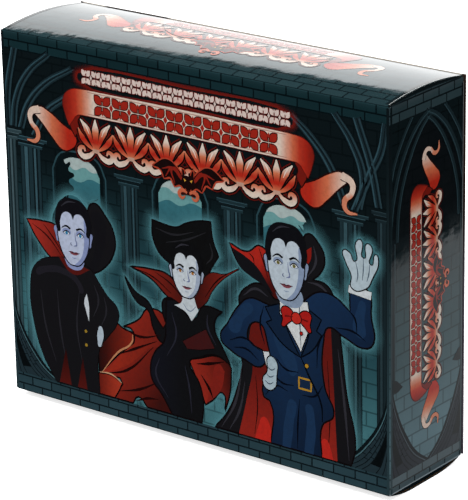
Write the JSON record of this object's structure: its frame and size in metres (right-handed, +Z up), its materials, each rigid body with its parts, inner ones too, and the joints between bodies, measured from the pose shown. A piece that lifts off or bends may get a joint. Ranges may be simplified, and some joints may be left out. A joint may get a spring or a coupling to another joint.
{
  "type": "board game box",
  "caption": "Flat tuck-end folding carton of glossy printed board, standing on its long side, with a folded insert, two decks of cards and a rule booklet inside.",
  "frame": {"origin": "middle of the footprint, on the surface that the box stands on", "axes": "+X towards the right end, -Y out of the front panel, +Z up"},
  "size_m": [0.19, 0.05, 0.1601],
  "materials": {
    "printed_board": "gloss print outside, plain brown inside",
    "insert_board": "matt grey board",
    "card": "satin varnish",
    "band_paper": "matt",
    "booklet_cover": "satin varnish",
    "booklet_pages": "matt",
    "staple_wire": "drawn wire"
  },
  "bodies": {
    "carton": {"front_panel": "printed_board", "top_panel": "printed_board", "back_panel": "printed_board", "bottom_panel": "printed_board", "glue_flap": "printed_board", "insert_floor": "insert_board", "insert_left_wall": "insert_board", "insert_right_wall": "insert_board", "insert_left_shoulder": "insert_board", "insert_right_shoulder": "insert_board", "card_divider": "insert_board", "lower_card_deck": "card", "upper_card_deck": "card", "lower_deck_band": "band_paper", "upper_deck_band": "band_paper", "booklet_cover": "booklet_cover", "booklet_pages": "booklet_pages", "booklet_staples": "staple_wire"},
    "right_closure": {"right_closure_panel": "printed_board"},
    "right_tuck": {"right_tuck_flap": "printed_board"},
    "right_upper_dust": {"right_upper_dust_flap": "printed_board"},
    "right_lower_dust": {"right_lower_dust_flap": "printed_board"},
    "left_closure": {"left_closure_panel": "printed_board"},
    "left_tuck": {"left_tuck_flap": "printed_board"},
    "left_upper_dust": {"left_upper_dust_flap": "printed_board"},
    "left_lower_dust": {"left_lower_dust_flap": "printed_board"}
  },
  "joints": [
    {"name": "right_closure_fold", "type": "hinge", "parent": "carton", "child": "right_closure", "pos_m": [0.0947, -0.0247, 0.0803], "axis": [0, 0, -1], "range_deg": [0, 150]},
    {"name": "right_tuck_fold", "type": "hinge", "parent": "right_closure", "child": "right_tuck", "pos_m": [0.0947, 0.02319, 0.0803], "axis": [0, 0, -1], "range_deg": [-45, 0]},
    {"name": "right_upper_dust_fold", "type": "hinge", "parent": "carton", "child": "right_upper_dust", "pos_m": [0.0937, 0, 0.1568], "axis": [0, -1, 0], "range_deg": [0, 90]},
    {"name": "right_lower_dust_fold", "type": "hinge", "parent": "carton", "child": "right_lower_dust", "pos_m": [0.0937, 0, 0.0038], "axis": [0, 1, 0], "range_deg": [0, 90]},
    {"name": "left_closure_fold", "type": "hinge", "parent": "carton", "child": "left_closure", "pos_m": [-0.0947, -0.0247, 0.0803], "axis": [0, 0, 1], "range_deg": [0, 150]},
    {"name": "left_tuck_fold", "type": "hinge", "parent": "left_closure", "child": "left_tuck", "pos_m": [-0.0947, 0.02319, 0.0803], "axis": [0, 0, 1], "range_deg": [-45, 0]},
    {"name": "left_upper_dust_fold", "type": "hinge", "parent": "carton", "child": "left_upper_dust", "pos_m": [-0.0937, 0, 0.1568], "axis": [0, 1, 0], "range_deg": [0, 90]},
    {"name": "left_lower_dust_fold", "type": "hinge", "parent": "carton", "child": "left_lower_dust", "pos_m": [-0.0937, 0, 0.0038], "axis": [0, -1, 0], "range_deg": [0, 90]}
  ],
  "couplings": [
    {"joint": "right_tuck_fold", "follows": "right_closure_fold", "ratio": -0.3},
    {"joint": "right_upper_dust_fold", "follows": "right_closure_fold", "ratio": 0.6},
    {"joint": "right_lower_dust_fold", "follows": "right_closure_fold", "ratio": 0.6},
    {"joint": "left_tuck_fold", "follows": "left_closure_fold", "ratio": -0.3},
    {"joint": "left_upper_dust_fold", "follows": "left_closure_fold", "ratio": 0.6},
    {"joint": "left_lower_dust_fold", "follows": "left_closure_fold", "ratio": 0.6}
  ]
}
